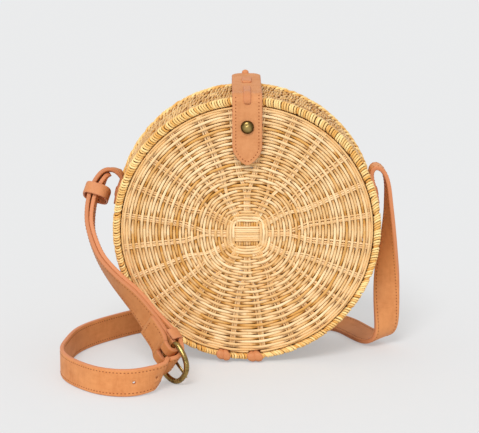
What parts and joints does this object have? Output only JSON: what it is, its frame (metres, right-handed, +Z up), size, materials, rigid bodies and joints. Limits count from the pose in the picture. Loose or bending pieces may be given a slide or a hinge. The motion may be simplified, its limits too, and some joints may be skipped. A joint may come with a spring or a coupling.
{
  "type": "round woven shoulder bag",
  "caption": "Round woven cane shoulder bag: a drum wall between wrapped borders, a woven lid tied at the bottom, a leather tab with a snap, and a buckled leather strap.",
  "frame": {"origin": "on the floor under the middle of the drum's axis, halfway between its front and back faces", "axes": "+X to the right seen from the front, +Y from the lid towards the back along the drum's axis, +Z up"},
  "size_m": [0.2578, 0.1974, 0.2112],
  "materials": {
    "cane": "varnished split cane",
    "leather": "smooth, with painted edges",
    "lace": "cut lace",
    "brass": "antique"
  },
  "bodies": {
    "drum": {"wall_weave": "cane", "wall_stakes": "cane", "front_border": "cane", "back_border": "cane", "back_stakes": "cane", "back_rows": "cane", "back_rim": "cane", "back_cross": "cane", "strap_short_top": "leather", "strap_tail_top": "leather", "strap_long_back": "leather", "tab_base": "leather", "hinge_tie_left": "leather", "hinge_tie_right": "leather", "lace_knot": "lace", "lace_stitch_front": "lace", "lace_stitch_mid": "lace", "strap_stitch_left": "lace", "strap_stitch_right": "lace"},
    "lid": {"lid_rows": "cane", "lid_stakes": "cane", "lid_rim": "cane", "lid_cross": "cane", "snap_stud": "brass", "snap_washer": "brass"},
    "strap_bight": {"strap_short_low": "leather", "strap_long_front": "leather", "keeper_fixed": "leather"},
    "tab_flap": {"tab_flap": "leather", "snap_cap": "brass", "snap_socket": "brass"},
    "keeper": {"keeper_sliding": "leather"},
    "buckle": {"buckle_frame": "brass"},
    "prong": {"buckle_prong": "brass"}
  },
  "joints": [
    {"name": "lid_open", "type": "hinge", "parent": "drum", "child": "lid", "pos_m": [0, -0.0403, 0.00816], "axis": [1, 0, 0], "range_deg": [0, 90]},
    {"name": "strap_swing", "type": "hinge", "parent": "drum", "child": "strap_bight", "pos_m": [-0.13521, -0.03013, 0.0203], "axis": [-0.2369, -0.0161, -0.9714], "range_deg": [0, 72]},
    {"name": "tab_lift", "type": "hinge", "parent": "drum", "child": "tab_flap", "pos_m": [0, -0.0448, 0.19746], "axis": [-1, 0, 0], "range_deg": [0, 150]},
    {"name": "keeper_slide", "type": "slide", "parent": "drum", "child": "keeper", "axis": [-0.2988, -0.4268, -0.8536], "range_m": [-0.005, 0.005]},
    {"name": "buckle_swing", "type": "hinge", "parent": "strap_bight", "child": "buckle", "pos_m": [-0.05848, -0.0896, 0.02147], "axis": [0.4494, -0.4939, 0.7444], "range_deg": [-6, 6]},
    {"name": "prong_swing", "type": "hinge", "parent": "buckle", "child": "prong", "pos_m": [-0.05848, -0.0896, 0.02147], "axis": [0.4494, -0.4939, 0.7444], "range_deg": [0, 10]}
  ],
  "couplings": [
    {"joint": "strap_swing", "follows": "lid_open", "ratio": 0.8}
  ]
}
